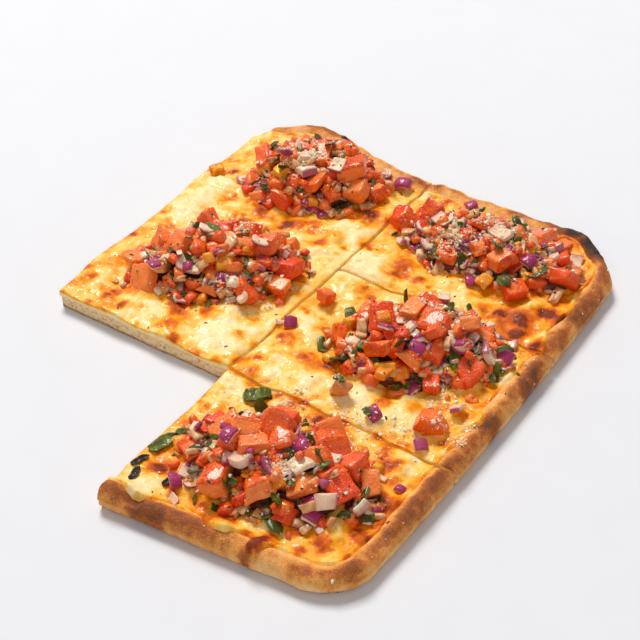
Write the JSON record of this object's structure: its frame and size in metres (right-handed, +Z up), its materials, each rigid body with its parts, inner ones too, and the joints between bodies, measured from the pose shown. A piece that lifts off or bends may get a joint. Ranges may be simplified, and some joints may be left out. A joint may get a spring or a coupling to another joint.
{
  "type": "bruschetta pizza",
  "caption": "Rectangular bruschetta pizza in cut slices, with a corner slice taken: golden-rimmed flatbread, melted cheese and heaps of diced tomato, onion and basil.",
  "frame": {"origin": "on the flat underside, below the middle of the object's box", "axes": "+Z up; +Y towards the back row, along the flatbread's longer side; -Y is the front, and the taken slice was at -X -Y"},
  "size_m": [0.2464, 0.3132, 0.0431],
  "materials": {
    "dough": "baked crust, matt",
    "cheese": "melted cheese, oily satin",
    "bruschetta": "diced vegetables, wet",
    "tomato": "cut tomato, wet",
    "onion": "cut red onion, wet",
    "garlic": "cooked garlic, satin",
    "basil": "cooked leaf, satin",
    "charred_basil": "charred leaf, matt"
  },
  "bodies": {
    "root": {"basil_leaf": "basil", "basil_leaf_by_heap": "basil", "bruschetta_left_back": "bruschetta", "bruschetta_left_middle": "bruschetta", "bruschetta_right_back": "bruschetta", "bruschetta_right_front": "bruschetta", "bruschetta_right_middle": "bruschetta", "charred_basil_1": "charred_basil", "charred_basil_2": "charred_basil", "charred_basil_3": "charred_basil", "cheese_left_back": "cheese", "cheese_lump": "cheese", "cheese_right_back": "cheese", "cheese_right_front": "cheese", "cheese_right_middle": "cheese", "dough_left_back": "dough", "dough_right_back": "dough", "dough_right_front": "dough", "dough_right_middle": "dough", "garlic_by_middle": "garlic", "onion_beside_cut": "onion", "onion_between": "onion", "onion_by_back": "onion", "onion_by_cut": "onion", "onion_by_middle": "onion", "onion_by_rim": "onion", "tomato_beside_cut": "tomato", "tomato_by_middle": "tomato"}
  },
  "joints": []
}
